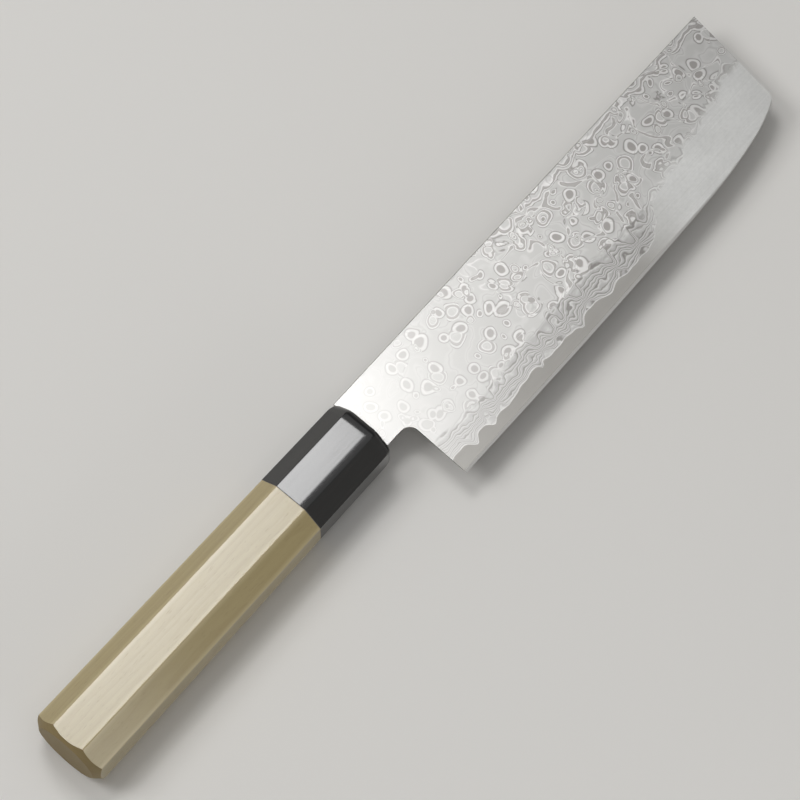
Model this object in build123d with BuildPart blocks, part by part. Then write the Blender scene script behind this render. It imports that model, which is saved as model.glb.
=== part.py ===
from build123d import *
from math import degrees, exp, pi, radians, sin, tan
import os

# A nakiri knife lying on its side, in millimetres
# X runs from the butt to the front of the blade, Y towards the spine, Z up from the table
# Below, X is counted from the heel, Y from the handle's axis and Z from the middle of the blade

# Blade outline
heel_depth = 33.15          # cutting edge at the heel, below the handle's axis
spine_height = 12.8         # spine, above the handle's axis
spine_front = 165.7         # front end of the spine
heel_lean = 0.7             # the heel's top stands this much further forward than its corner
edge_flat = 33.0            # straight stretch of the cutting edge, from the heel
belly_radii = (2427.0, 193.0, 65.0)
belly_lengths = (87.4, 25.3, 16.2)
front_corner_radius = 5.0
neck_depth = 8.8            # lower side of the neck, below the handle's axis
neck_fillet = 3.8

# Blade section
spine_thickness = 2.0
edge_thickness = 0.44       # behind the cutting bevel, at the heel
front_thickness = 1.4       # spine thickness at the blade's front
taper_start = 95.0          # where the blade starts to thin towards its front
core_thickness = 0.44
cutting_angle = 15.0        # each side of the cutting bevel, in degrees
spine_rounding = 0.3

# Line where the cladding ends on the ground face
line_height = 5.7           # above the cutting edge at the heel
line_step_start = 97.0
line_step_length = 14.0
line_step_height = 8.2
line_front_rise = 8.5       # further rise from the step to the front
line_pitch = 0.8            # distance between the points of the line
ripple_heights = (0.45, 0.3, 0.15)
ripple_lengths = (31.0, 12.7, 5.3)
dip_place_shares = (0.058, 0.108, 0.168, 0.256, 0.368, 0.456, 0.562, 0.622)
dip_depths = (2.4, 2.2, 1.1, 1.9, 1.7, 1.5, 0.9, 1.3)
dip_widths = (1.9, 1.6, 3.4, 0.9, 1.5, 2.2, 3.0, 1.4)

# Tang
tang_length = 95.0
tang_front_height = 10.0
tang_rear_height = 6.0

# Handle, an octagon that grows towards the butt
ferrule_front = -10.4       # front face, behind the heel
ferrule_length = 34.4
handle_length = 138.4       # ferrule and wood together
front_width = 23.7
front_height = 21.0
butt_width = 26.14
butt_height = 24.6
front_corner_rise = 5.75    # height of the slanted facets at the ferrule
butt_corner_rise = 6.58
corner_lean = 1.06          # width of a slanted facet for each unit of its height
wood_edge_rounding = 0.6    # along the wood's eight edges; the horn's stay crisp
ferrule_rim_rounding = 1.8
butt_face_radius = 11.1
butt_cone_angle = 40.0      # between the cone and the end face, in degrees

# Joint between ferrule and wood
tenon_diameter = 15.0
tenon_length = 22.0
tenon_chamfer = 0.8
glue_gap = 0.15             # glue round the tenon and between the end faces
tenon_end_gap = 0.6
slot_clearance = 0.3        # seal on each side of the tang in the ferrule's slot
mortise_clearance = 0.35    # resin on each side of the tang in the wood
mortise_end_gap = 1.5
overrun = 5.0               # how far cutting shapes pass the faces that they cut

# Places worked out from the sizes
half_spine = spine_thickness / 2
half_edge = edge_thickness / 2
half_front = front_thickness / 2
half_core = core_thickness / 2
joint_x = ferrule_front - ferrule_length
butt_x = ferrule_front - handle_length
cone_run_per_rise = tan(radians(butt_cone_angle))
side_growth = (butt_width - front_width) / 2 / handle_length
top_growth = (butt_height - front_height) / 2 / handle_length
side_shoulder = (butt_width / 2 - butt_face_radius) / (1 / cone_run_per_rise + side_growth)
top_shoulder = (butt_height / 2 - butt_face_radius) / (1 / cone_run_per_rise + top_growth)
widest = butt_width / 2 - side_growth * side_shoulder
thickest = butt_height / 2 - top_growth * top_shoulder
centre_x = (spine_front + butt_x) / 2
centre_y = (widest - heel_depth) / 2

# The plane in the middle of the blade, and planes across the handle
middle = Plane(origin=(-centre_x, -centre_y, thickest))


def across(x):
    """Plane square to the handle's axis at x, with its own X along Y and its own Y along Z."""
    return Plane(origin=(x - centre_x, -centre_y, thickest), x_dir=(0, 1, 0), z_dir=(1, 0, 0))


def place(x, y, z):
    """Point counted from the heel, the handle's axis and the middle of the blade."""
    return Vector(x - centre_x, y - centre_y, z + thickest)


def plane_through(a, b, c):
    """Plane through three points, facing the side from which they turn anticlockwise."""
    return Plane(origin=a, x_dir=b - a, z_dir=(b - a).cross(c - a))


def ease(x, start, length):
    """0 before the start, 1 past the end, and a smooth climb between them."""
    share = min(max((x - start) / length, 0), 1)
    return share * share * (3 - 2 * share)


def cladding_line(x, turned):
    """Height of the cladding's lower edge; the far side has the same waves, turned end for end."""
    along = spine_front - x if turned else x
    y = -heel_depth + line_height
    y += line_step_height * ease(x, line_step_start, line_step_length)
    y += line_front_rise * max(x - line_step_start, 0) / (spine_front - line_step_start)
    for height, length in zip(ripple_heights, ripple_lengths):
        y += height * sin(2 * pi * along / length)
    for share, depth, width in zip(dip_place_shares, dip_depths, dip_widths):
        y -= depth * exp(-(((along - share * spine_front) / width) ** 2))
    return y


def cutting_edge():
    """The straight stretch and the three arcs of the cutting edge, inside a BuildLine."""
    run = Line((0, -heel_depth), (edge_flat, -heel_depth))
    for radius, length in zip(belly_radii, belly_lengths):
        run = JernArc(run @ 1, run % 1, radius, degrees(length / radius))
    return run


def below_line(turned):
    """Face of everything under the cladding's lower edge, in the blade's middle plane."""
    count = round((spine_front + 2 * overrun) / line_pitch)
    xs = [-overrun + (spine_front + 2 * overrun) * i / count for i in range(count + 1)]
    points = [(x, cladding_line(x, turned)) for x in xs]
    floor = -heel_depth - overrun
    with BuildSketch(middle) as area:
        with BuildLine():
            Polyline(*points, (xs[-1], floor), (xs[0], floor), close=True)
        make_face()
    return area.sketch


# Right half of the blade with its tang: the outline, ground on two planes, its spine eased
with BuildPart() as right_half:
    with BuildSketch(middle):
        with BuildLine():
            front_start = cutting_edge() @ 1
            Polyline(front_start, (spine_front, spine_height), (ferrule_front, spine_height))
            Line((ferrule_front, spine_height), (ferrule_front, tang_front_height / 2))
            tang_end = ferrule_front - tang_length
            Line((ferrule_front, tang_front_height / 2), (tang_end, tang_rear_height / 2))
            ThreePointArc(
                (tang_end, tang_rear_height / 2),
                (tang_end - tang_rear_height / 2, 0),
                (tang_end, -tang_rear_height / 2),
            )
            Line((tang_end, -tang_rear_height / 2), (ferrule_front, -tang_front_height / 2))
            Line((ferrule_front, -tang_front_height / 2), (ferrule_front, -neck_depth))
            Polyline((ferrule_front, -neck_depth), (heel_lean, -neck_depth), (0, -heel_depth))
        make_face()
    extrude(amount=half_spine)
    upright = right_half.edges().filter_by(Axis.Z)
    fillet(upright.sort_by_distance(place(heel_lean, -neck_depth, 0))[0], neck_fillet)
    upright = right_half.edges().filter_by(Axis.Z)
    corner = place(front_start.X, front_start.Y, 0)
    fillet(upright.sort_by_distance(corner)[0], front_corner_radius)
    # The flat grind runs level along the blade, and past taper_start it thins to the front
    near_spine = place(taper_start, spine_height, half_spine)
    near_edge = place(taper_start, -heel_depth, half_edge)
    back_spine = place(0, spine_height, half_spine)
    front_spine = place(spine_front, spine_height, half_front)
    split(bisect_by=plane_through(near_spine, back_spine, near_edge), keep=Keep.BOTTOM)
    split(bisect_by=plane_through(near_spine, near_edge, front_spine), keep=Keep.BOTTOM)
    spine_face = right_half.faces().sort_by(Axis.Y)[-1]
    lengthwise = spine_face.edges().filter_by(Axis.Z, reverse=True).sort_by(Axis.Z)
    fillet(lengthwise[1:], spine_rounding)

# The cutting bevel leans in from the edge line at its own angle
with BuildPart() as bevel_space:
    with BuildSketch(middle):
        with BuildLine():
            edge_line = cutting_edge()
            edge_end = edge_line @ 1 + (edge_line % 1) * overrun
            Line(edge_line @ 1, edge_end)
            far_front = spine_front + 2 * overrun
            far_back = tang_end - 2 * overrun
            far_top = spine_height + 2 * overrun
            Polyline(
                edge_end,
                (far_front, edge_end.Y),
                (far_front, far_top),
                (far_back, far_top),
                (far_back, -heel_depth),
                (0, -heel_depth),
            )
        make_face()
    extrude(amount=half_spine, taper=90 - cutting_angle)

# Both halves of the blade as one forging, before it is shared out between the steels
with BuildPart() as blade_blank:
    add(right_half.part)
    add(bevel_space.part, mode=Mode.INTERSECT)
    mirror(about=middle)

core_top = middle.offset(half_core)
core_bottom = middle.offset(-half_core)

# Soft layered steel on the right face, from the wavy line up to the spine
with BuildPart() as right_cladding:
    add(blade_blank.part)
    split(bisect_by=core_top, keep=Keep.TOP)
    extrude(below_line(turned=False), amount=spine_thickness, mode=Mode.SUBTRACT)
right_cladding.part.label = "right_cladding"

# The same on the left face
with BuildPart() as left_cladding:
    add(blade_blank.part)
    split(bisect_by=core_bottom, keep=Keep.BOTTOM)
    extrude(below_line(turned=True), amount=-spine_thickness, mode=Mode.SUBTRACT)
left_cladding.part.label = "left_cladding"

# Hard core between them, bare under the wavy lines down to the cutting edge
with BuildPart() as blade_core:
    add(blade_blank.part)
    add(right_cladding.part, mode=Mode.SUBTRACT)
    add(left_cladding.part, mode=Mode.SUBTRACT)
blade_core.part.label = "blade_core"


def octagon_corners(x, width, height, rise):
    """The eight corners of the handle's section at x, in turn round it."""
    lean = rise * corner_lean
    upper = [(width / 2 - lean, height / 2), (width / 2, height / 2 - rise)]
    lower = [(y, -z) for y, z in reversed(upper)]
    half = upper + lower
    return [place(x, y, z) for y, z in half + [(-y, -z) for y, z in half]]


# Ferrule and wood are planed to shape as one block, facet by facet, and its rim is rounded
butt_corners = octagon_corners(butt_x, butt_width, butt_height, butt_corner_rise)
front_corners = octagon_corners(ferrule_front, front_width, front_height, front_corner_rise)
next_corners = butt_corners[1:] + butt_corners[:1]
with BuildPart() as handle_blank:
    with BuildSketch(across(butt_x)):
        Rectangle(butt_width, butt_height)
    extrude(amount=handle_length)
    for at_butt, at_front, beside in zip(butt_corners, front_corners, next_corners):
        split(bisect_by=plane_through(at_butt, at_front, beside), keep=Keep.BOTTOM)
    fillet(handle_blank.faces().sort_by(Axis.X)[-1].edges(), ferrule_rim_rounding)

# Space that the tang and its resin take up, from the bore's bottom to past the tang's end
bore_bottom = joint_x + tenon_length + tenon_end_gap
mortise_end = tang_end - tang_rear_height / 2 - mortise_end_gap
with BuildPart() as mortise_space:
    with BuildSketch(across(bore_bottom)):
        Rectangle(tang_front_height + 2 * mortise_clearance, spine_thickness + 2 * mortise_clearance)
    with BuildSketch(across(mortise_end)):
        Rectangle(tang_rear_height + 2 * mortise_clearance, spine_thickness + 2 * mortise_clearance)
    loft(ruled=True)

# Horn collar: blind bore from the rear, slot through the front wall
bore_diameter = tenon_diameter + 2 * glue_gap
slot_height = tang_front_height + 2 * slot_clearance
slot_width = spine_thickness + 2 * slot_clearance
with BuildPart() as ferrule:
    add(handle_blank.part)
    split(bisect_by=across(joint_x), keep=Keep.TOP)
    with BuildSketch(across(joint_x)):
        Circle(bore_diameter / 2)
    extrude(amount=tenon_length + tenon_end_gap, mode=Mode.SUBTRACT)
    with BuildSketch(across(ferrule_front)):
        Rectangle(slot_height, slot_width)
    extrude(amount=bore_bottom - ferrule_front, mode=Mode.SUBTRACT)
ferrule.part.label = "ferrule"

# Wood: cone-cut butt, shoulder one glue film behind the ferrule, tenon and mortise
with BuildPart() as butt_cone:
    reach = handle_length
    with BuildSketch(middle):
        with BuildLine():
            Polyline(
                (butt_x, 0),
                (butt_x, butt_face_radius),
                (butt_x + reach * cone_run_per_rise, butt_face_radius + reach),
                (joint_x + reach, butt_face_radius + reach),
                (joint_x + reach, 0),
                close=True,
            )
        make_face()
    revolve(axis=Axis((-centre_x, -centre_y, thickest), (1, 0, 0)))

with BuildPart() as handle_wood:
    add(handle_blank.part)
    split(bisect_by=across(joint_x - glue_gap), keep=Keep.BOTTOM)
    fillet(handle_wood.edges().filter_by(Plane.YZ, reverse=True), wood_edge_rounding)
    add(butt_cone.part, mode=Mode.INTERSECT)
    with BuildSketch(across(joint_x - glue_gap)):
        Circle(tenon_diameter / 2)
    extrude(amount=tenon_length + glue_gap)
    chamfer(handle_wood.faces().sort_by(Axis.X)[-1].edges(), tenon_chamfer)
    add(mortise_space.part, mode=Mode.SUBTRACT)
handle_wood.part.label = "handle_wood"

# Glue film: it fills the bore round the tenon and the gap between the end faces
with BuildPart() as ferrule_glue:
    add(handle_blank.part)
    split(bisect_by=across(joint_x), keep=Keep.BOTTOM)
    split(bisect_by=across(joint_x - glue_gap), keep=Keep.TOP)
    with BuildSketch(across(joint_x)):
        Circle(bore_diameter / 2)
    extrude(amount=tenon_length + tenon_end_gap)
    add(handle_wood.part, mode=Mode.SUBTRACT)
    add(mortise_space.part, mode=Mode.SUBTRACT)
ferrule_glue.part.label = "ferrule_glue"

# Resin that beds the tang in the wood
with BuildPart() as tang_resin:
    add(mortise_space.part)
    add(blade_blank.part, mode=Mode.SUBTRACT)
tang_resin.part.label = "tang_resin"

# Seal that closes the ferrule's slot round the tang
with BuildPart() as slot_seal:
    with BuildSketch(across(ferrule_front)):
        Rectangle(slot_height, slot_width)
    extrude(amount=bore_bottom - ferrule_front)
    add(blade_blank.part, mode=Mode.SUBTRACT)
slot_seal.part.label = "slot_seal"

os.makedirs("parts", exist_ok=True)
pieces = (
    blade_core, right_cladding, left_cladding, ferrule, handle_wood, ferrule_glue, tang_resin, slot_seal
)
for piece in pieces:
    export_step(piece.part, f"parts/{piece.part.label}.step")
    print(piece.part.label, len(piece.part.solids()), round(piece.part.volume, 2))
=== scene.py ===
# %% [markdown]
# # A nakiri knife with an octagonal handle
# The knife lies on its side: a tall blade of layered steel, a black horn ferrule and a grip of
# pale wood. Every solid is already there at its real size, packed as a fixed frame. This lesson
# gives each one its finish, softens what a polisher would soften, and then lights and films it.

# %% Load the frame
import math

import bpy
from mathutils import Matrix, Vector


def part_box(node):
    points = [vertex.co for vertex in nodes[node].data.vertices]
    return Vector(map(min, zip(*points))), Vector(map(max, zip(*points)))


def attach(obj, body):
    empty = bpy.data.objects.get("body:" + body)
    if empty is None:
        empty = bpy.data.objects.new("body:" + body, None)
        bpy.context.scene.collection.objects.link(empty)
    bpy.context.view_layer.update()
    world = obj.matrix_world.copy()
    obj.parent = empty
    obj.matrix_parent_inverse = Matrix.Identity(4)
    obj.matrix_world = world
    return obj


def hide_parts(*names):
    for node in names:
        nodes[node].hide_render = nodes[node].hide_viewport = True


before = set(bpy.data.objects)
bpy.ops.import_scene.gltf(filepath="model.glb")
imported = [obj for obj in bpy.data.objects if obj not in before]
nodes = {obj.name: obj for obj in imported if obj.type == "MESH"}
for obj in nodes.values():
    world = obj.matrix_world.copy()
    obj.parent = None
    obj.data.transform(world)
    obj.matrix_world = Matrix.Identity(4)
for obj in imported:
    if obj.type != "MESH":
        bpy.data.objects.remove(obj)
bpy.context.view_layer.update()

print("The frame holds", ", ".join(sorted(nodes)))

# %% [markdown]
# ## Where things are
# A knife is measured from a few places that matter to its maker: the heel, which is the rear
# corner of the cutting edge, the handle's axis and the middle of the blade. All of them can be
# read off the frame. Blender works in metres, and the maker in millimetres, so a millimetre gets
# a name of its own.

# %% Measure the frame
mm = 0.001
heel_to_ferrule = 10.4 * mm
horn_low, horn_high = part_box("ferrule")
core_low, core_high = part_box("blade_core")
axis_y = (horn_low.y + horn_high.y) / 2
blade_z = (horn_low.z + horn_high.z) / 2
heel = Vector((horn_high.x + heel_to_ferrule, axis_y, blade_z))
spine_front = (core_high.x - heel.x) / mm
heel_depth = (axis_y - core_low.y) / mm
print(f"The blade runs {spine_front:.1f} mm from the heel and {heel_depth:.2f} mm below the axis")

# %% [markdown]
# ## The camera
# The photograph looks steeply down from behind the butt, with a long lens. A camera on a stand
# has three things to set: the direction it looks from, how far off it is, and what its lens
# takes in. Here they are an azimuth and an elevation, a distance and a focal length, and the
# small roll is the stand's own lean.

# %% Place the camera
camera_azimuth = math.radians(-49.308)
camera_elevation = math.radians(70.304)
camera_roll = math.radians(0.364)
camera_distance = 1501.6 * mm
camera_aim = heel + Vector((4.52, -1.78, 0)) * mm
focal_length = 215.77
film_width = 36
nearest_seen = 0.1
farthest_seen = 20

bpy.ops.object.camera_add()
camera = bpy.context.object
camera.name = "camera"
camera.data.lens = focal_length
camera.data.sensor_width = film_width
camera.data.clip_start = nearest_seen
camera.data.clip_end = farthest_seen
backwards = Vector((
    math.sin(camera_azimuth) * math.cos(camera_elevation),
    -math.cos(camera_azimuth) * math.cos(camera_elevation),
    math.sin(camera_elevation),
))
looking = (-backwards).to_track_quat("-Z", "Y").to_matrix().to_4x4()
camera.matrix_world = (
    Matrix.Translation(camera_aim + backwards * camera_distance)
    @ looking
    @ Matrix.Rotation(camera_roll, 4, "Z")
)
bpy.context.scene.camera = camera
print(f"The camera stands {camera_distance:.2f} m off at {math.degrees(camera_elevation):.1f} degrees")

# %% [markdown]
# ## Shader maths in plain Python
# A material in Blender is a graph of nodes. Wiring dozens of Math nodes by hand hides the idea
# behind the boxes, so this class wraps one output socket and lets Python's own operators add the
# nodes: writing `1 - mask` on a wire adds a Subtract node and returns the wire that leaves it.

# %% A wire that understands arithmetic
class Wire:
    """One output of a shader node. Arithmetic on it adds Math nodes."""

    def __init__(self, finish, socket):
        self.finish = finish
        self.socket = socket

    def __add__(self, other):
        return self.finish.maths("ADD", self, other)

    def __sub__(self, other):
        return self.finish.maths("SUBTRACT", self, other)

    def __rsub__(self, other):
        return self.finish.maths("SUBTRACT", other, self)

    def __mul__(self, other):
        return self.finish.maths("MULTIPLY", self, other)

    def __truediv__(self, other):
        return self.finish.maths("DIVIDE", self, other)

    def __pow__(self, other):
        return self.finish.maths("POWER", self, other)

    __radd__ = __add__
    __rmul__ = __mul__


# %% [markdown]
# ## Colours
# A paint card gives a colour as three numbers from 0 to 255, spaced evenly for the eye. Blender
# mixes light itself, so each number is first taken off the eye's curve.

# %% A colour from a paint card
card_white = 255
dark_stretch = 0.04045
dark_slope = 12.92
curve_lift = 0.055
curve_power = 2.4


def paint(red, green, blue):
    """A colour as a paint card gives it, 0 to 255, in the linear light that Blender mixes."""
    linear = []
    for value in (red, green, blue):
        share = value / card_white
        curved = ((share + curve_lift) / (1 + curve_lift)) ** curve_power
        linear.append(share / dark_slope if share <= dark_stretch else curved)
    return (*linear, 1)


print("Half of the card's white is", round(paint(128, 128, 128)[0], 2), "of the light")

# %% [markdown]
# ## A finish
# The second helper is the graph itself. It has one method that adds any node: the settings go in
# first, because they decide which sockets the node has, and then each socket gets either a value
# or a wire. The others are short names for the few nodes that every finish here uses.

# %% A material that is mixed like a recipe
# Places of the Mix node's sockets for colours
mix_share = 0
mix_low = 6
mix_high = 7
mixed_colour = 2
axes = ("X", "Y", "Z")


class Finish:
    """A material, or the room's own shader, whose nodes are added from Python."""

    def __init__(self, name, holder=None):
        self.material = holder or bpy.data.materials.new(name)
        self.material.use_nodes = True
        self.tree = self.material.node_tree
        self.tree.nodes.clear()

    def node(self, kind, settings, inputs, output=0):
        """Adds a node: its settings first, then a value or a wire for each socket named."""
        made = self.tree.nodes.new(kind)
        for name, setting in settings.items():
            if name == "stops":
                self.place_stops(made.color_ramp, setting)
            else:
                setattr(made, name, setting)
        for name, value in inputs.items():
            if isinstance(value, Wire):
                self.tree.links.new(value.socket, made.inputs[name])
            else:
                made.inputs[name].default_value = value
        return Wire(self, made.outputs[output] if made.outputs else None)

    def place_stops(self, ramp, stops):
        """Gives a colour ramp its stops, each a place from 0 to 1 and a colour."""
        while len(ramp.elements) < len(stops):
            ramp.elements.new(1)
        for element, (place, colour) in zip(ramp.elements, stops):
            element.position = place
            element.color = colour

    def maths(self, operation, *values):
        """One Math node on wires and numbers."""
        return self.node("ShaderNodeMath", {"operation": operation}, dict(enumerate(values)))

    def highest(self, first, second):
        """The larger of two wires or numbers."""
        return self.maths("MAXIMUM", first, second)

    def without_sign(self, value):
        """The value without its sign."""
        return self.maths("ABSOLUTE", value)

    def rise(self, value, start, end):
        """0 before the start, 1 past the end, and a smooth climb between them."""
        settings = {"interpolation_type": "SMOOTHSTEP"}
        places = {"Value": value, "From Min": start, "From Max": end}
        return self.node("ShaderNodeMapRange", settings, places)

    def ramp(self, value, start, end):
        """0 before the start, 1 past the end, and an even climb between them."""
        places = {"Value": value, "From Min": start, "From Max": end}
        return self.node("ShaderNodeMapRange", {}, places)

    def mix(self, low, high, share):
        """One colour turning into another as the share goes from 0 to 1."""
        inputs = {mix_share: share, mix_low: low, mix_high: high}
        return self.node("ShaderNodeMix", {"data_type": "RGBA"}, inputs, output=mixed_colour)

    def colours(self, value, stops):
        """A colour for each value from 0 to 1, by stops of a place and a paint."""
        settings = {"stops": [(place, paint(*card)) for place, *card in stops]}
        return self.node("ShaderNodeValToRGB", settings, {"Fac": value})

    def vector(self, operation, *values, output="Vector"):
        """One Vector Math node."""
        settings = {"operation": operation}
        return self.node("ShaderNodeVectorMath", settings, dict(enumerate(values)), output)

    def combine(self, x, y, z):
        """A place from its three numbers."""
        return self.node("ShaderNodeCombineXYZ", {}, {"X": x, "Y": y, "Z": z})

    def noise(self, place, scale, detail=2.0, roughness=0.5, output="Fac"):
        """Cloudy noise from 0 to 1, with its scale in clouds per millimetre."""
        values = {"Vector": place, "Scale": scale, "Detail": detail, "Roughness": roughness}
        return self.node("ShaderNodeTexNoise", {}, values, output)

    def knife_place(self):
        """The place on the knife in millimetres from the heel, the axis and the blade's middle."""
        place = self.node("ShaderNodeTexCoord", {}, {}, "Object")
        from_heel = self.vector("SUBTRACT", place, tuple(heel))
        per_mm = {0: from_heel, "Scale": 1 / mm}
        return self.node("ShaderNodeVectorMath", {"operation": "SCALE"}, per_mm)

    def parts_of(self, place):
        """The three numbers of a place."""
        split = self.node("ShaderNodeSeparateXYZ", {}, {"Vector": place})
        outputs = split.socket.node.outputs
        return [Wire(self, outputs[axis]) for axis in axes]

    def faces_along(self, axis):
        """1 where the surface faces along an axis, either way, and 0 where it runs beside it."""
        facing = self.node("ShaderNodeTexCoord", {}, {}, "Normal")
        return self.without_sign(self.parts_of(facing)[axes.index(axis)])

    def bump(self, strength, depth, height):
        """A surface that rises and falls with a height, over a depth in millimetres."""
        inputs = {"Strength": strength, "Distance": depth * mm, "Height": height}
        return self.node("ShaderNodeBump", {}, inputs)

    def shine(self, base, **inputs):
        """The closing Principled shader, with the base colour and every other socket named."""
        values = {name.replace("_", " "): value for name, value in inputs.items()}
        shader = self.node("ShaderNodeBsdfPrincipled", {}, {"Base Color": base, **values})
        self.node("ShaderNodeOutputMaterial", {}, {"Surface": shader})
        print(f"{self.material.name} has {len(self.tree.nodes)} nodes")
        return self.material


# %% [markdown]
# ## Layered steel
# The blade's sides are soft steel folded together from many thin sheets of two kinds. Hammering
# dents the stack, and grinding then cuts through the dents, so each dent shows its sheets as
# rings, as hills do on a map. An etch darkens one kind of sheet. The pattern here is made the
# same way: a height for the dented stack, cut level by level, rather than a drawn picture.
#
# ### The cladding's lower edge
# The grinder stops at a line above the cutting edge, which wanders because the stack does. It is
# a few sine waves of falling height, eight deeper dips, a step and a climb to the front. All the
# sizes are in millimetres, and a dip's place is a share of the blade's length.

# %% Where the cladding ends
line_height = 5.7
line_step_start = 97.0
line_step_length = 14.0
line_step_height = 8.2
line_front_rise = 8.5
ripples = (
    # height, length
    (0.45, 31.0),
    (0.3, 12.7),
    (0.15, 5.3),
)
dips = (
    # place, depth, width
    (0.058, 2.4, 1.9),
    (0.108, 2.2, 1.6),
    (0.168, 1.1, 3.4),
    (0.256, 1.9, 0.9),
    (0.368, 1.7, 1.5),
    (0.456, 1.5, 2.2),
    (0.562, 0.9, 3.0),
    (0.622, 1.3, 1.4),
)


def cladding_line(finish, x, along):
    """Height of the cladding's lower edge, as the smith's grinding leaves it."""
    y = line_step_height * finish.rise(x, line_step_start, line_step_start + line_step_length)
    past_step = finish.highest(x - line_step_start, 0)
    y = y + past_step * (line_front_rise / (spine_front - line_step_start))
    for height, length in ripples:
        y = y + finish.maths("SINE", along * (2 * math.pi / length)) * height
    for share, depth, width in dips:
        off = (along - share * spine_front) / width
        y = y - finish.maths("EXPONENT", off * off * -1.0) * depth
    return y + (line_height - heel_depth)


line_end = line_height + line_step_height + line_front_rise
print(f"The line climbs from {line_height} mm to {line_end:.1f} mm, with {len(dips)} dips")

# %% [markdown]
# ### A place on the blade
# Every rule of the pattern asks the same questions about a point: how far along the blade it is,
# how far above the line, and whether it is in the plain front. They are answered once for each
# face. The far face has the same rules with the pattern turned end for end, because a real stack
# is welded on from both sides and no sheet lines up with its twin.

# %% The measures that the pattern goes by
front_start = 94.0
front_full = 112.0


class BladePlace:
    """Where a point lies on one face of the blade, in millimetres."""

    def __init__(self, finish, turned, seed):
        self.seed = seed
        self.place = finish.knife_place()
        self.x, self.y, self.z = finish.parts_of(self.place)
        self.along = spine_front - self.x if turned else self.x
        self.flat = finish.combine(self.along, self.y, seed)
        self.above_line = self.y - cladding_line(finish, self.x, self.along)
        self.above_foot = self.y + (heel_depth - line_height)
        self.front = finish.rise(self.x, front_start, front_full)


print(f"The pattern gives way to plain steel from {front_start} to {front_full} mm")

# %% [markdown]
# ### The stack between the dents
# A stack never lies straight, so the place is first pushed about by a soft cloud. Between the
# dents the steel shows pale lakes with thin dark valleys, which are the middle level of one
# broad cloud.

# %% Bends, lakes and valleys
bend_noise = (0.15, 0.5)
bend_reach = 1.7
valley_noise = (0.11, 0.8)
valley_level = 0.46
valley_width = (0.008, 0.06)
valley_fill = 0.07
valleys_begin = (20.0, 80.0)
valleys_fade = (118.0, 140.0)
valleys_lost = 0.3
valley_sheet = 0.05
lake_sheets = 0.43


def bent_place(finish, at):
    """The place pushed about by a soft cloud."""
    push = finish.noise(at.flat, *bend_noise, output="Color")
    span = (2 * bend_reach, 2 * bend_reach, 0)
    push = finish.vector("MULTIPLY_ADD", push, span, (-bend_reach, -bend_reach, 0))
    return finish.vector("ADD", at.flat, push)


def lakes_and_valleys(finish, at):
    """The stack's level where it wasn't struck: one sheet in a valley, another in a lake."""
    deep = finish.rise(at.x, *valleys_begin) * (1 - finish.rise(at.x, *valleys_fade) * valleys_lost)
    off_middle = finish.without_sign(finish.noise(at.bent, *valley_noise) - valley_level)
    lakes = finish.rise(off_middle + (1 - deep) * valley_fill, *valley_width)
    return lakes * lake_sheets + valley_sheet


print(f"The bends push the pattern by up to {bend_reach} mm either way")

# %% [markdown]
# ### The dents
# A dent is a cone round a seed point. Its slope crosses the sheets at an even pace, which gives
# rings of even width. Some dents were struck twice, and those are wider and deeper.

# %% Round dents
dent_kinds = (
    # millimetres apart, smallest radius and its spread as shares of that, share that is struck
    (6.3, 0.37, 0.17, 0.95),
    (4.4, 0.27, 0.12, 0.3),
)
dent_smoothness = 0.2
dent_floor = 0.3
struck_twice = (0.66, 0.74)
twice_wider = 0.2


def round_dents(finish, at):
    """Cone-shaped dents, one sheet deep at most."""
    dents = 0.0
    settings = {"voronoi_dimensions": "2D", "feature": "SMOOTH_F1"}
    for pitch, smallest, spread, share in dent_kinds:
        seeds = {"Vector": at.bent, "Scale": 1 / pitch, "Smoothness": dent_smoothness}
        distance = finish.node("ShaderNodeTexVoronoi", settings, seeds, "Distance")
        luck = finish.node("ShaderNodeTexVoronoi", settings, seeds, "Color")
        tall, wide, there = finish.parts_of(luck)
        twice = finish.rise(tall, *struck_twice)
        radius = (wide * spread + smallest) * (twice * twice_wider + 1)
        dent = 1 - finish.ramp(distance / radius, dent_floor, 1.0)
        depth = twice * 0.5 + 0.5
        dents = dent * depth * finish.maths("LESS_THAN", there, share) + dents
    return dents


widest = max(pitch * (least + spread) for pitch, least, spread, share in dent_kinds)
print(f"The widest dents are {widest * (1 + twice_wider) * 2:.1f} mm across")

# %% [markdown]
# ### The grinder's cut
# Lower down the grind runs across the stack at a shallow angle, so the sheets show as long wavy
# lines above the cladding's edge. Each next line is a little further off than the last, as the
# cut gets shallower, and in places the lines pinch together like a bow tie. Slow clouds, drawn
# out along the blade, do the waving.

# %% Slow clouds
clouds = {
    # seed's offset, clouds per millimetre along and up the blade, detail
    "sway": (0.0, 0.1, 0.07, 2.0),
    "swell": (7.0, 0.075, 0.05, 1.0),
    "knots": (13.0, 0.13, 0.33, 2.0),
    "zigzag": (21.0, 0.24, 0.16, 1.0),
    "pinch": (31.0, 0.2, 0.0, 0.0),
}


def drift(finish, at, name):
    """One of the slow clouds, from -0.5 to 0.5."""
    offset, along_scale, up_scale, detail = clouds[name]
    place = finish.combine(at.along * along_scale, at.y * up_scale, at.seed + offset)
    return finish.noise(place, 1.0, detail) - 0.5


print("The slow clouds are", ", ".join(clouds))

# %% [markdown]
# The cut itself counts sheets. Close to the line it follows the line, and further up it follows
# the blade. The band ends at a ragged border, which climbs away from the heel.

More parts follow.
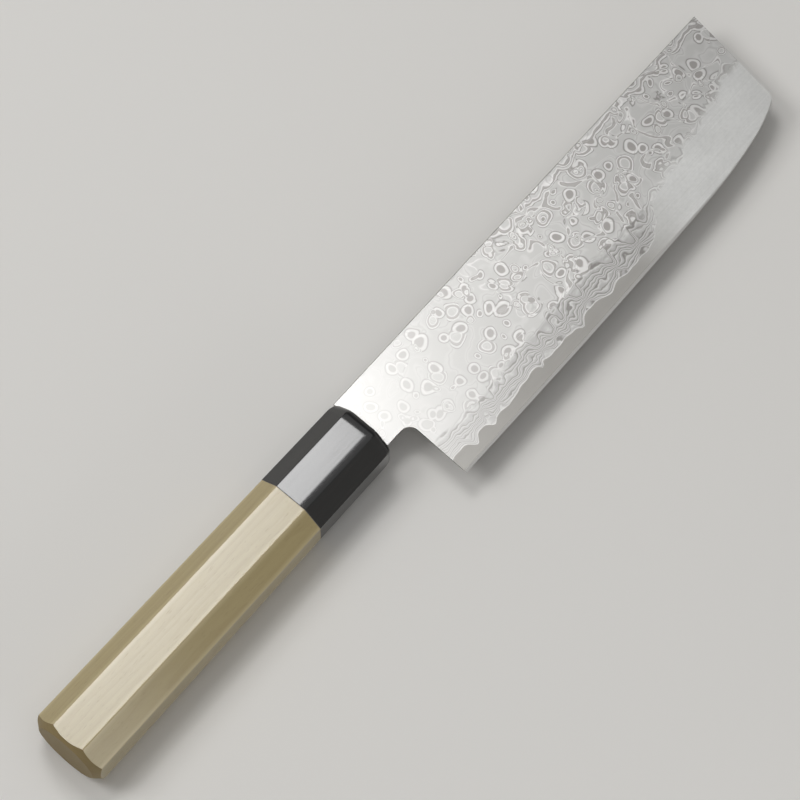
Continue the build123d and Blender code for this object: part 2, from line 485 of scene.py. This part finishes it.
# %% The band of cut sheets
line_is_followed = (0.3, 6.5)
sway_reach = 7.0
zigzag_reach = 5.0
zigzag_starts = (0.3, 3.5)
pinch_middle = 3.0
pinched = (-0.04, 0.22)
pinch_least = 0.9
pinch_more = 2.6
band_low = 6.3
band_more = 2.5
band_grows = (15.0, 75.0)
band_fade = 3.0
band_sheets = 4.3
band_sheets_more = 3.0
band_border = (0.0, 1.6)
border_knots = 5.0


def cut_sheets(finish, at):
    """How many sheets the grind has cut through, and where the band of them lies."""
    near_line = 1 - finish.rise(at.above_line, *line_is_followed)
    swaying = at.above_foot + at.sway * sway_reach
    depth = at.above_line * near_line + swaying * (1 - near_line)
    zigzag = drift(finish, at, "zigzag") * finish.rise(at.above_line, *zigzag_starts)
    depth = depth + zigzag * zigzag_reach
    squeeze = finish.rise(drift(finish, at, "pinch"), *pinched) * pinch_more + pinch_least
    depth = finish.highest((depth - pinch_middle) * squeeze + pinch_middle, 0)
    band_height = finish.rise(at.x, *band_grows) * band_more + band_low
    sheets = finish.highest(1 - depth / (band_height + band_fade), 0)
    crowding = drift(finish, at, "swell") * band_sheets_more + band_sheets
    sheets = sheets * sheets * crowding * (1 - at.front)
    past_border = at.above_foot + at.knots * border_knots - band_height
    in_band = (1 - finish.rise(past_border, *band_border)) * (1 - at.front)
    return sheets, in_band


print(f"The band is {band_low} mm high at the heel and {band_low + band_more} mm further on")

# %% [markdown]
# ### The whole stack
# The two ways of cutting meet in one height. The dents belong above the band, and the lines
# below its border. Towards the spine a few lines follow the back of the blade. At the front the
# pattern ends on a shore of its own, short of the plain steel.

# %% One height for the stack
band_level = 0.75
band_knots = 0.9
spine_lines = 1.6
spine_zone = (9.5, 14.5)
spine_sway = 6.0
spine_lines_begin = (58.0, 80.0)
shore_sway = 14.0
shore_offset = 0.8
shore_sinks = (125.0, 165.0)
shore_sunk = 3.0
shore_width = 4.0
shore_sheets = 0.35


def above_shore(finish, at):
    """How far a point of the front lies above the border of the plain steel there."""
    sunk = finish.rise(at.x, *shore_sinks) * shore_sunk
    return at.above_line + finish.without_sign(at.sway) * shore_sway - shore_offset - sunk


def stack_height(finish, at):
    """The level of the stack, whose whole numbers are the welds between pairs of sheets."""
    hammered = lakes_and_valleys(finish, at)
    stack = hammered * (1 - at.in_band) + at.in_band * band_level
    stack = stack + at.dents * (1 - at.in_band) + at.sheets + at.knots * at.in_band * band_knots
    near_spine = finish.ramp(at.y + at.sway * spine_sway, *spine_zone)
    stack = stack + near_spine * finish.rise(at.x, *spine_lines_begin) * spine_lines
    shore = finish.highest(1 - at.above_shore / shore_width, 0)
    return stack + shore * at.front * shore_sheets


print(f"Along the spine the stack climbs through {spine_lines} pairs of sheets")

# %% [markdown]
# ### The etch
# Acid takes each kind of sheet to its own grey and leaves a bright rim where two of them meet. A
# colour ramp over one pair of sheets holds those greys. The band is etched more strongly than
# the hammered part, so it has a ramp of its own.

# %% Greys of the sheets
hammered_greys = (
    (0.0, 150, 147, 144),
    (0.02, 162, 160, 157),
    (0.09, 162, 160, 157),
    (0.14, 146, 143, 140),
    (0.2, 206, 205, 203),
    (0.29, 206, 205, 203),
    (0.37, 184, 183, 181),
    (0.58, 182, 181, 179),
    (0.66, 130, 128, 125),
    (0.73, 204, 203, 201),
    (0.85, 206, 205, 203),
    (0.93, 150, 147, 144),
    (1.0, 150, 147, 144),
)
band_greys = (
    (0.0, 118, 116, 113),
    (0.08, 126, 124, 121),
    (0.16, 188, 187, 185),
    (0.3, 163, 162, 160),
    (0.42, 157, 156, 154),
    (0.5, 120, 118, 115),
    (0.6, 186, 185, 183),
    (0.75, 163, 162, 160),
    (0.9, 155, 154, 152),
    (1.0, 118, 116, 113),
)
print("The etch has", len(hammered_greys) + len(band_greys), "greys")

# %% [markdown]
# Besides the greys, the cladding's lower edge keeps a bright rim, and the thinnest sheets leave
# lines just darker than the rest.

# %% The etched greys
rim_grey = paint(210, 209, 207)
rim_width = (0.2, 0.5)
rim_share = 0.55
rim_lost_at_front = 0.8
faint_grey = paint(136, 134, 131)
faint_noise = (0.1, 1.5)
faint_lines = 6.0
faint_in_dents = 0.8
faint_dark = (0.0, 0.07)
faint_pale = (0.1, 0.3)
faint_share = 0.36


def etch(finish, at, stack):
    """The greys of the etched sheets, with their bright lower rim and the faintest lines."""
    level = finish.maths("FRACT", stack)
    hammered = finish.colours(level, hammered_greys)
    etched = finish.mix(hammered, finish.colours(level, band_greys), at.in_band)
    rim = (1 - finish.rise(at.above_line, *rim_width)) * (1 - at.front * rim_lost_at_front)
    etched = finish.mix(etched, rim_grey, rim * rim_share)
    fine = finish.noise(at.bent, *faint_noise) * faint_lines
    fine = finish.maths("FRACT", fine + at.dents * faint_in_dents + at.sheets)
    off_line = finish.without_sign(fine - 0.5)
    clear = finish.ramp(off_line, *faint_dark) - finish.ramp(off_line, *faint_pale) * 0.5
    return finish.mix(etched, faint_grey, (1 - clear) * faint_share)


print(f"The rim is {rim_width[1]} mm wide")

# %% [markdown]
# ### Plain ground steel
# The front of the blade is ground past the pattern. What is left there is the mark of the stone:
# long streaks, a soft cloud and a fine grain. Cladding and core share it, so that the border
# between them doesn't show.

# %% The plain ground of the front
streak_length = 0.02
streak_noise = (2.6, 4.0, 0.6)
ground_cloud = (0.07, 2.0)
ground_grain = (0.9, 3.0, 0.6)
streaks_weigh = 0.4
cloud_weighs = 0.3
grain_weighs = 0.3
ground_contrast = (0.3, 0.7)
stone_dark = paint(182, 182, 180)
stone_pale = paint(206, 206, 204)


def stone_streaks(finish, place):
    """Fine streaks along the blade, from 0 to 1."""
    x, y, z = finish.parts_of(place)
    drawn_out = finish.combine(x * streak_length, y, z)
    return finish.noise(drawn_out, *streak_noise)


def clear_ground(finish, place):
    """The evenly ground steel near the front, with the stone's streaks and a soft grain."""
    streaks = stone_streaks(finish, place)
    cloud = finish.noise(place, *ground_cloud)
    grain = finish.noise(place, *ground_grain)
    tone = streaks * streaks_weigh + cloud * cloud_weighs + grain * grain_weighs
    return finish.mix(stone_dark, stone_pale, finish.ramp(tone, *ground_contrast))


print(f"A streak is {1 / streak_length:.0f} times as long as it is wide")

# %% [markdown]
# ### Where the pattern fades
# Near the handle the pattern fades and the ground turns paler. This is painted glare: it stands
# in for the lamp's reflection washing the steel out. At the front the pattern fades towards its
# shore, where the plain ground takes over.

# %% Fade the pattern
# The fade and the paler ground near the handle are painted glare.
glare_fade_span = (-20.0, 85.0)
glare_fade_share = 0.82
band_keeps = 0.45
glare_ground_span = (-8.0, 36.0)
ground_far = paint(174, 173, 171)
glare_ground = paint(184, 183, 181)
inland_steps = (
    # from, to, share of the pattern that it brings
    (-0.8, 2.4, 0.55),
    (0.0, 7.0, 0.45),
)


def faded(finish, at, etched):
    """The etched pattern over its ground, with painted glare near the handle, and gone at the front."""
    near_heel = 1 - finish.rise(at.x, *glare_fade_span)
    glare_fade = near_heel * glare_fade_share * (1 - at.in_band * band_keeps)
    ground_glare = 1 - finish.rise(at.x, *glare_ground_span)
    ground = finish.mix(ground_far, glare_ground, ground_glare)
    colour = finish.mix(ground, etched, 1 - glare_fade)
    inland = 0.0
    for start, end, share in inland_steps:
        inland = finish.rise(at.above_shore, start, end) * share + inland
    return finish.mix(colour, clear_ground(finish, at.place), at.front * (1 - inland))


# The pattern taken off near the handle is painted glare.
print(f"Polishing takes up to {glare_fade_share:.0%} of the pattern off near the handle")

# %% [markdown]
# ### The sheets seen edge-on
# Along the spine and the heel the steel is cut square to its sheets, which show as fine straight
# lines. The surface's own direction tells where that is.

# %% Lines on the narrow sides
edge_on_turn = (0.5, 0.8)
edge_dark = paint(150, 148, 145)
edge_pale = paint(204, 203, 201)
side_stretch = 0.03
side_lines = 9.0


def lined_sides(finish, at, colour):
    """A colour on the faces, and fine straight lines on the narrow sides."""
    edge_on = 1 - finish.rise(finish.faces_along("Z"), *edge_on_turn)
    sideways = (at.x * side_stretch, at.y * side_stretch, at.z * side_lines)
    lines = finish.noise(finish.combine(*sideways), 1.0)
    return finish.mix(colour, finish.mix(edge_dark, edge_pale, lines), edge_on)


print(f"A side shows about {side_lines:.0f} lines to the millimetre")

# %% [markdown]
# ### The finish as a whole
# Now the parts come together. The greys also give the relief, because the acid eats the dark
# sheets a little deeper, and a haze along the blade makes the shine slightly uneven.

# %% Etch both sides
haze_length = 0.06
haze_noise = (1.4, 3.0)
steel_roughness = 0.33
haze_roughness = 0.04
etch_strength = 0.25
etch_depth = 0.02
haze_relief = 0.2


def layered_steel(name, turned, seed):
    """The etched cladding of one face, whose pattern is turned end for end on the far face."""
    finish = Finish(name)
    at = BladePlace(finish, turned, seed)
    at.bent = bent_place(finish, at)
    at.dents = round_dents(finish, at)
    at.sway = drift(finish, at, "sway")
    at.knots = drift(finish, at, "knots")
    at.sheets, at.in_band = cut_sheets(finish, at)
    at.above_shore = above_shore(finish, at)
    etched = etch(finish, at, stack_height(finish, at))
    colour = lined_sides(finish, at, faded(finish, at, etched))

    haze = finish.noise(finish.combine(at.x * haze_length, at.y, at.z), *haze_noise)
    brightness = finish.node("ShaderNodeRGBToBW", {}, {"Color": colour})
    normal = finish.bump(etch_strength, etch_depth, brightness + haze * haze_relief)
    roughness = haze * haze_roughness + steel_roughness
    return finish.shine(colour, Metallic=1.0, Roughness=roughness, Normal=normal)


nodes["right_cladding"].data.materials[0] = layered_steel("layered_steel_right", False, 3.0)
nodes["left_cladding"].data.materials[0] = layered_steel("layered_steel_left", True, 41.0)

# %% [markdown]
# ## Core steel
# The hard steel in the middle comes to light only along the cutting edge, where it is ground
# finely and evenly. It has no pattern, just the faint streaks of the stone that run along it, and
# it turns from hazy to clear towards the front. The narrow cutting bevel is honed on a finer
# stone, and its paler grey is a painted highlight: the thin bright line that the bevel's
# reflection gives. It leans more than the rest, so the surface's own direction is enough to find it.

# %% The plain core
hazy_dark = paint(138, 136, 132)
hazy_pale = paint(156, 154, 150)
heel_grey = paint(164, 162, 158)
# The bevel's paler grey is a painted highlight.
honed_highlight_grey = paint(200, 198, 195)
clear_from = (84.0, 116.0)
heel_span = (0.0, 40.0)
heel_share = 0.6
leaves_the_edge = (0.6, 0.9)
reaches_the_face = (0.972, 0.995)
core_strength = 0.2
core_depth = 0.01
core_roughness = 0.4
streak_share = 0.15


def core_steel():
    """Finely ground steel, with streaks along the edge and a bevel painted paler as a highlight."""
    finish = Finish("core_steel")
    place = finish.knife_place()
    x = finish.parts_of(place)[0]
    streaks = stone_streaks(finish, place)
    cloud = finish.noise(place, *ground_cloud)
    hazy = finish.mix(hazy_dark, hazy_pale, streaks * 0.5 + cloud * 0.5)
    near_heel = 1 - finish.rise(x, *heel_span)
    hazy = finish.mix(hazy, heel_grey, near_heel * heel_share)
    colour = finish.mix(hazy, clear_ground(finish, place), finish.rise(x, *clear_from))

    # Painted highlight: the cutting bevel is painted paler along the edge.
    level = finish.faces_along("Z")
    bevel_highlight = finish.rise(level, *leaves_the_edge) * (1 - finish.rise(level, *reaches_the_face))
    colour = finish.mix(colour, honed_highlight_grey, bevel_highlight)
    normal = finish.bump(core_strength, core_depth, streaks)
    roughness = streaks * streak_share + core_roughness
    return finish.shine(colour, Metallic=1.0, Roughness=roughness, Normal=normal)


nodes["blade_core"].data.materials[0] = core_steel()

# %% [markdown]
# ## The ferrule's block
# A maker saws the collar out of a horn block and planes eight flats on it, which taper a little
# towards the blade. The same can be done here: a cube a little too large, and one straight cut
# for each flat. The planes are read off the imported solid, so the piece comes out at its size.

# %% Plane the block to eight sides
planing_allowance = 1.0 * mm
wall_limit = 10.0 * mm
widest_taper = 0.05
smallest_flat = 20.0 * mm * mm
cut_tolerance = 0.0005 * mm


def outer_flats(node):
    """A point on each flat side of a solid and the direction it faces, in turn round the axis."""
    flats = {}
    for face in node.data.polygons:
        out = face.normal.copy()
        place = face.center.copy()
        from_axis = place - Vector((place.x, axis_y, blade_z))
        is_side = abs(out.x) < widest_taper and out.dot(from_axis) > wall_limit
        if is_side and face.area > smallest_flat:
            flats[round(math.degrees(math.atan2(out.z, out.y)))] = (place, out)
    return [flat for angle, flat in sorted(flats.items())]


def shave(place, out):
    """Takes off whatever stands outside one plane."""
    bpy.ops.object.mode_set(mode="EDIT")
    bpy.ops.mesh.select_all(action="SELECT")
    bpy.ops.mesh.bisect(
        plane_co=place, plane_no=out, use_fill=True, clear_outer=True, threshold=cut_tolerance
    )
    bpy.ops.object.mode_set(mode="OBJECT")


bpy.ops.object.select_all(action="DESELECT")
allowance = Vector((0, planing_allowance, planing_allowance)) * 2
bpy.ops.mesh.primitive_cube_add(
    size=1, location=(horn_low + horn_high) / 2, scale=horn_high - horn_low + allowance
)
horn = bpy.context.object
horn.name = "horn_ferrule"
bpy.ops.object.transform_apply(location=True, rotation=True, scale=True)
flats = outer_flats(nodes["ferrule"])
for place, out in flats:
    shave(place, out)
print("The planed block has", len(horn.data.polygons), "sides, ends included")

# %% [markdown]
# ## Easing the flats
# A buffing wheel never leaves a flat quite flat up to its border: it leans over and takes a little
# more there. The photograph shows where, because the lamp's reflection fades over two
# millimetres along the lower border of the upper flat and in front of every rim. A few more
# strokes of the plane do the same, each one leaning a degree or two further than the last.

# %% Lean towards the front rim
front_strokes = (
    # distance behind the front, degrees
    (4.6 * mm, 1.0),
    (4.1 * mm, 2.4),
    (3.6 * mm, 4.5),
    (3.0 * mm, 8.0),
)
forwards = Vector((1, 0, 0))
square_turn = 90


def lean(out, towards, degrees):
    """The direction that a side faces after it leans a few degrees towards another."""
    sideways = (towards - out * towards.dot(out)).normalized()
    angle = math.radians(degrees)
    return out * math.cos(angle) + sideways * math.sin(angle)


for inset, degrees in front_strokes:
    for place, out in flats:
        towards_rim = lean(out, forwards, square_turn)
        start = place + towards_rim * ((horn_high.x - inset - place.x) / towards_rim.x)
        shave(start, lean(out, forwards, degrees))
print("With the front eased there are", len(horn.data.polygons), "faces")

# %% [markdown]
# The wheel takes more where two flats meet, so the front ends of the eight edges get strokes of
# their own, between the directions of the two flats.

# %% Lean the eight front corners
corner_strokes = (
    (4.3 * mm, 5.0),
    (3.8 * mm, 10.0),
    (3.3 * mm, 16.0),
)


def meeting(first, second, x):
    """The point where the edge between two flats passes a given x."""
    (place_a, a), (place_b, b) = first, second
    level_a = a.dot(place_a) - a.x * x
    level_b = b.dot(place_b) - b.x * x
    turn = a.y * b.z - a.z * b.y
    y = (level_a * b.z - level_b * a.z) / turn
    z = (level_b * a.y - level_a * b.y) / turn
    return Vector((x, y, z))


for inset, degrees in corner_strokes:
    for first, second in zip(flats, flats[1:] + flats[:1]):
        between = (first[1] + second[1]).normalized()
        shave(meeting(first, second, horn_high.x - inset), lean(between, forwards, degrees))
print("With the corners eased there are", len(horn.data.polygons), "faces")

# %% [markdown]
# The photograph shows the reflection running out along the lower border of the upper flat, shared
# with the flat that slants down towards the cutting edge.

# %% Lean the upper flat's lower border
border_strokes = (
    (2.7 * mm, 0.8),
    (2.0 * mm, 2.0),
    (1.4 * mm, 3.8),
    (0.8 * mm, 8.0),
)
lower_slant = Vector((0, -1, 1)).normalized()

upper_place, upper_out = max(flats, key=lambda flat: flat[1].z)
slant_place, slant_out = min(flats, key=lambda flat: (flat[1] - lower_slant).length)
along_border = upper_out.cross(slant_out).normalized()
border_y = slant_out.dot(slant_place - upper_place) / slant_out.y
downhill = along_border.cross(upper_out)
downhill = downhill if downhill.y < 0 else -downhill
for inset, degrees in border_strokes:
    start = upper_place + downhill * ((border_y + inset) / downhill.y)
    shave(start, lean(upper_out, downhill, degrees))
print("Eased to", len(horn.data.polygons), "faces")

# %% [markdown]
# ## Rounding the ferrule
# The front rim is filed round, because the thumb rests there, and the long edges are only broken,
# each with a curve no wider than a hair. The Bevel operator rounds the edges that are selected,
# and the Bevel modifier finds every other sharp edge by its angle.

# %% Round the rim and break the long edges
rim_rounding = 1.9 * mm
rim_steps = 7
broken_edge = 0.12 * mm
broken_steps = 3
ring_step = 0.03 * mm
sharp_side = math.radians(25)
round_profile = 0.5


def pick_edges(piece, wanted):
    """Selects the edges of a piece that pass a test on their two ends."""
    bpy.ops.object.mode_set(mode="EDIT")
    bpy.ops.mesh.select_all(action="DESELECT")
    bpy.ops.mesh.select_mode(type="EDGE")
    bpy.ops.object.mode_set(mode="OBJECT")
    points = piece.data.vertices
    for edge in piece.data.edges:
        ends = [points[index].co for index in edge.vertices]
        edge.select = wanted(*ends)
    picked = sum(edge.select for edge in piece.data.edges)
    bpy.ops.object.mode_set(mode="EDIT")
    return picked


def on_front_rim(a, b):
    """Whether an edge lies in the ferrule's front face."""
    return min(a.x, b.x) > horn_high.x - ring_step


picked = pick_edges(horn, on_front_rim)
bpy.ops.mesh.bevel(
    offset=rim_rounding, segments=rim_steps, profile=round_profile, clamp_overlap=False
)
print(picked, "edges round the rim")
bpy.ops.object.mode_set(mode="OBJECT")
broken = horn.modifiers.new("broken", "BEVEL")
broken.limit_method = "ANGLE"
broken.angle_limit = sharp_side
broken.width = broken_edge
broken.segments = broken_steps
broken.use_clamp_overlap = False
bpy.ops.object.modifier_apply(modifier=broken.name)
print("The long edges are broken, with", len(horn.data.polygons), "faces now")

# %% [markdown]
# ## Boring and slotting the ferrule
# A drill opens the rear for the wood's tenon, and a thin saw cuts the slot that the tang passes
# through. Both are cut here as the tool would: a cylinder and a plate, each taken away from the
# horn. Their sizes come from the solids that fill them.

# %% Bore the rear and saw the slot
seal_low, seal_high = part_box("slot_seal")
bore_bottom = seal_low.x
overshoot = 2.0 * mm
bore_sides = 64
bore_radius = max(
    (corner.co - Vector((corner.co.x, axis_y, blade_z))).length
    for corner in nodes["ferrule"].data.vertices
    if abs(corner.co.x - bore_bottom) < ring_step
)


def cut_away(piece, tool):
    """Takes the tool's shape out of the piece and removes the tool."""
    bpy.ops.object.select_all(action="DESELECT")
    bpy.context.view_layer.objects.active = piece
    piece.select_set(True)
    cut = piece.modifiers.new("cut", "BOOLEAN")
    cut.object = tool
    cut.solver = "EXACT"
    bpy.ops.object.modifier_apply(modifier=cut.name)
    bpy.data.objects.remove(tool)


bore_length = bore_bottom - horn_low.x + overshoot
bore_middle = Vector((bore_bottom - bore_length / 2, axis_y, blade_z))
along_x = (0, math.pi / 2, 0)
bpy.ops.mesh.primitive_cylinder_add(
    vertices=bore_sides, radius=bore_radius, depth=bore_length, location=bore_middle, rotation=along_x
)
cut_away(horn, bpy.context.object)
slot_middle = (seal_low + seal_high) / 2
slot_size = seal_high - seal_low + Vector((overshoot * 2, 0, 0))
bpy.ops.mesh.primitive_cube_add(size=1, location=slot_middle, scale=slot_size)
cut_away(horn, bpy.context.object)
print(f"The bore is {bore_radius * 2 / mm:.2f} mm wide, the ferrule has {len(horn.data.polygons)} faces")

# %% [markdown]
# ## Shading the ferrule
# A buffed flat reflects like a mirror, so its shading must stay flat while the rounded rim runs
# smoothly. Shading by angle keeps the true edges, and weighted normals let the large flats decide
# how the narrow faces beside them turn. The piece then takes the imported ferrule's place.

# %% Smooth the curves and keep the flats flat
crease_angle = math.radians(35)
bpy.ops.object.shade_smooth_by_angle(angle=crease_angle)
weighted = horn.modifiers.new("weighted", "WEIGHTED_NORMAL")
weighted.keep_sharp = True
bpy.ops.object.modifier_apply(modifier=weighted.name)
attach(horn, "root")
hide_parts("ferrule")
print("The horn ferrule takes the place of the packed one")

# %% [markdown]
# ## Horn
# The ferrule is buffalo horn, sawn, planed and buffed until it is nearly black and shines. What
# shows is the lamp's reflection, so its finish is mostly a matter of how smooth it is. The
# lengthwise fibres are just visible where they are dense.

# %% Buffed black horn
horn_fibre_length = 0.05
horn_fibres = (1.1, 4.0, 0.6)
dense_fibres = (0.5, 0.8)
horn_black = paint(9, 9, 9)
fibre_brown = paint(30, 27, 25)
buffed = 0.06
horn_ior = 1.55
wax = 0.35


def black_horn():
    """Near-black horn with faint lengthwise fibres and a buffed coat."""
    finish = Finish("black_horn")
    x, y, z = finish.parts_of(finish.knife_place())
    fibres = finish.noise(finish.combine(x * horn_fibre_length, y, z), *horn_fibres)
    colour = finish.mix(horn_black, fibre_brown, finish.rise(fibres, *dense_fibres))
    roughness = fibres * buffed + buffed
    return finish.shine(
        colour, Roughness=roughness, IOR=horn_ior, Coat_Weight=wax, Coat_Roughness=buffed
    )


horn.data.materials.clear()
horn.data.materials.append(black_horn())

# %% [markdown]
# ## Wood
# The grip is a light straight-grained wood. Wood is a solid with a direction: rings round the
# tree's heart, drawn out along the trunk into grain. Working the colour out from the place in
# the tree gives lines along the sides and arcs on the sawn end at once, as in the real block.

# %% Rings, fibres and pores
heart_y = 46.0
heart_z = -70.0
rings_per_mm = 0.6
ring_wander = 9.0
wander_along = 0.012
wander_across = 0.08
summer = (0.4, 0.93)
winter = (0.93, 1.0)
fibre_length = 0.06
fibre_noise = (3.2, 5.0, 0.7)
broad_length = 0.02
broad_scale = 0.22
pore_length = 0.16
pore_width = 1.5
pore_scale = 2.2
pore_depth = (0.62, 0.74)


def late_rings(finish, x, y, z):
    """The dark late wood of each year: a slow climb through the summer and a quick end."""
    bowed = finish.combine(x * wander_along, y * wander_across, z * wander_across)
    wander = finish.noise(bowed, 1.0) * ring_wander
    from_heart_y = y - heart_y
    from_heart_z = z - heart_z
    from_heart = (from_heart_y * from_heart_y + from_heart_z * from_heart_z) ** 0.5
    year = finish.maths("FRACT", (from_heart + wander) * rings_per_mm)
    return finish.ramp(year, *summer) * (1 - finish.ramp(year, *winter))


def grain(finish, x, y, z):
    """Fibres, broad stripes and pores, all drawn out along the trunk."""
    fibres = finish.noise(finish.combine(x * fibre_length, y, z), *fibre_noise)
    broad = finish.noise(finish.combine(x * broad_length, y, z), broad_scale)
    pore_place = finish.combine(x * pore_length, y * pore_width, z * pore_width)
    pores = finish.rise(finish.noise(pore_place, pore_scale), *pore_depth)
    return fibres, broad, pores


print(f"The tree's heart lay {math.hypot(heart_y, heart_z):.0f} mm from the handle's axis")

# %% [markdown]
# The long edges are painted paler, a painted highlight for the light that their slight rounding
# catches. To find them, the point is folded into one quarter of the octagon, its depth under the
# three flats there is measured, and the second smallest of these depths is nil exactly on an edge.

# %% Edges painted paler
# The paler edges are a painted highlight.
edge_highlight_reach = 1.3


def edge_closeness(finish, place, node, reach):
    """1 on a long edge of an eight-sided piece, and 0 from a reach in millimetres away from it."""
    x, y, z = finish.parts_of(place)
    folded = finish.combine(x, finish.without_sign(y), finish.without_sign(z))
    depths = []
    for point, out in outer_flats(node):
        if out.y > -widest_taper and out.z > -widest_taper:
            level = out.dot(point - heel) / mm
            depths.append(finish.vector("DOT_PRODUCT", folded, tuple(out), output="Value") - level)
    first, second, third = depths
    higher = finish.highest(first, second)
    lower = finish.maths("MINIMUM", first, second)
    next_flat = finish.highest(lower, finish.maths("MINIMUM", higher, third))
    return finish.rise(next_flat, -reach, 0.0)


print(f"The edges are rubbed pale for {edge_highlight_reach} mm to either side")

# %% [markdown]
# The sawn end drinks more oil than the sides and isn't polished, so it is darker and duller. The
# surface's own direction tells which is which.

# %% Pale straight-grained wood
early_dark = paint(148, 130, 82)
early_pale = paint(176, 160, 112)
late_brown = paint(134, 113, 66)
pore_brown = paint(112, 94, 58)
end_brown = paint(112, 92, 56)
edge_highlight_pale = paint(196, 180, 140)
sawn_end = (0.3, 0.8)
late_share = 0.16
pore_share = 0.35
end_share = 0.6
edge_highlight_least = 0.35
wood_strength = 0.3
wood_depth = 0.05
fibre_relief = 0.6
late_relief = 0.25
pore_relief = 0.8
wood_roughness = 0.24
fibre_roughness = 0.12
pore_roughness = 0.2
end_roughness = 0.4
end_polish_lost = 0.9
polish_roughness = 0.18


def pale_wood():
    """Straight-grained pale wood with rings, fibres, pores, painted edge highlights and darker end
    grain.
    """
    finish = Finish("pale_wood")
    place = finish.knife_place()
    x, y, z = finish.parts_of(place)
    late_wood = late_rings(finish, x, y, z)
    fibres, broad, pores = grain(finish, x, y, z)

    colour = finish.mix(early_dark, early_pale, fibres * 0.5 + broad * 0.5)
    colour = finish.mix(colour, late_brown, late_wood * late_share)
    colour = finish.mix(colour, pore_brown, pores * pore_share)
    end_grain = finish.rise(finish.faces_along("X"), *sawn_end)
    colour = finish.mix(colour, end_brown, end_grain * end_share)
    # Painted highlight: the long edges are painted paler.
    highlighted = edge_closeness(finish, place, nodes["handle_wood"], edge_highlight_reach) * (1 - end_grain)
    colour = finish.mix(colour, edge_highlight_pale, highlighted * (broad * 0.5 + edge_highlight_least))

    height = fibres * fibre_relief + late_wood * late_relief - pores * pore_relief
    normal = finish.bump(wood_strength, wood_depth, height)
    roughness = fibres * fibre_roughness + pores * pore_roughness + wood_roughness
    roughness = roughness + end_grain * end_roughness
    polish = 1 - end_grain * end_polish_lost
    return finish.shine(
        colour, Roughness=roughness, Coat_Weight=polish, Coat_Roughness=polish_roughness, Normal=normal
    )


nodes["handle_wood"].data.materials[0] = pale_wood()

# %% [markdown]
# ## Glue, resin and seal
# Three thin fillings hold the knife together. Only the glue line between horn and wood and the
# seal round the tang can be seen, each as a hair line. A little cloudiness is all they need.

# %% Fillings
filling_cloud = (0.8, 3.0)
fillings = {
    # node: material, darker and paler paint, roughness
    "ferrule_glue": ("glue_line", (96, 90, 80), (128, 122, 110), 0.5),
    "tang_resin": ("tang_resin", (150, 128, 84), (178, 156, 110), 0.35),
    "slot_seal": ("slot_seal", (22, 21, 20), (34, 32, 30), 0.5),
}


def filling(name, low, high, roughness):
    """A cured filling, a little cloudy."""
    finish = Finish(name)
    cloud = finish.noise(finish.knife_place(), *filling_cloud)
    return finish.shine(finish.mix(paint(*low), paint(*high), cloud), Roughness=roughness)


for node_name, recipe in fillings.items():
    nodes[node_name].data.materials[0] = filling(*recipe)

# %% [markdown]
# ## The stage
# A pale floor under the knife is all that the object needs around it. It is dull, to show a
# shadow and no reflection.

# %% Floor
floor_width = 12
floor_roughness = 0.9
floor_paint = paint(228, 226, 222)
bpy.ops.object.select_all(action="DESELECT")
bpy.ops.mesh.primitive_plane_add(size=floor_width, location=(0, 0, 0))
floor = bpy.context.object
floor.name = "floor"
floor_finish = Finish("pale_floor")
floor.data.materials.append(floor_finish.shine(floor_paint, Roughness=floor_roughness))

# %% [markdown]
# ## Light
# A softbox hangs where the camera sees it mirrored in the ferrule's upper side, which is what
# brings out its shine. A second one lights the blade from behind the spine, a wide dim panel
# hangs overhead, and a small bright card stands low beside the handle, for its lower slant.

# %% Lamps
ferrule_middle = (horn_low + horn_high) / 2
key_direction = Vector((0.159, 0.333, 0.93)).normalized()
key_distance = 1.1
fill_direction = Vector((-0.35, 0.5, 0.8)).normalized()
fill_distance = 1.6
panel_place = Vector((0, 0, 2.6))
card_place = Vector((-0.14, -0.47, 0.15))
lamps = (
    # name, place, target, width, brightness
    ("key", ferrule_middle + key_direction * key_distance, ferrule_middle, 0.3, 9.0),
    ("fill", heel + fill_direction * fill_distance, heel, 0.6, 6.0),
    ("panel", panel_place, Vector((0, 0, 0)), 3.0, 0.5),
    ("card", card_place, Vector((card_place.x, 0, 0)), 0.22, 1.9),
)


def softbox(name, place, target, width, brightness):
    """A square lamp that faces its target; its brightness is that of its own surface."""
    bpy.ops.object.light_add(type="AREA", location=place)
    lamp = bpy.context.object
    lamp.name = name
    lamp.data.shape = "SQUARE"
    lamp.data.size = width
    lamp.data.energy = brightness * math.pi * width * width
    facing = (place - target).normalized()
    across = Vector((0, 1, 0)).cross(facing).normalized()
    turned = Matrix((across, facing.cross(across), facing)).transposed()
    lamp.rotation_mode = "QUATERNION"
    lamp.rotation_quaternion = turned.to_quaternion()
    print(f"{name} is {width:.2f} m wide, {lamp.data.energy:.1f} W")


for lamp_settings in lamps:
    softbox(*lamp_settings)

# %% [markdown]
# ## The room
# A real studio has pale walls, which polished steel shows whenever it is seen from low down. They
# are added only for the eye and for reflections, and end well below the ceiling, so that the
# lamps stay the only things that light the knife, with a dim even air between them.

# %% Room
wall_fade = (0.05, 0.8)
wall_paint = paint(184, 182, 178)
dim_air = (0.2, 0.2, 0.2, 1)
bpy.context.scene.world = bpy.data.worlds.new("room")
room = Finish("room", bpy.context.scene.world)
direction = room.node("ShaderNodeTexCoord", {}, {}, "Generated")
wall = 1 - room.rise(room.parts_of(direction)[2], *wall_fade)
shown = 0.0
for ray in ("Is Camera Ray", "Is Glossy Ray", "Is Transmission Ray"):
    shown = room.node("ShaderNodeLightPath", {}, {}, ray) + shown
air = room.mix(dim_air, wall_paint, room.maths("MINIMUM", shown, 1) * wall)
background = room.node("ShaderNodeBackground", {}, {"Color": air, "Strength": 1.0})
room.node("ShaderNodeOutputWorld", {}, {"Surface": background})

bpy.context.scene.view_settings.view_transform = "Standard"
print("The room has", len(room.tree.nodes), "nodes")
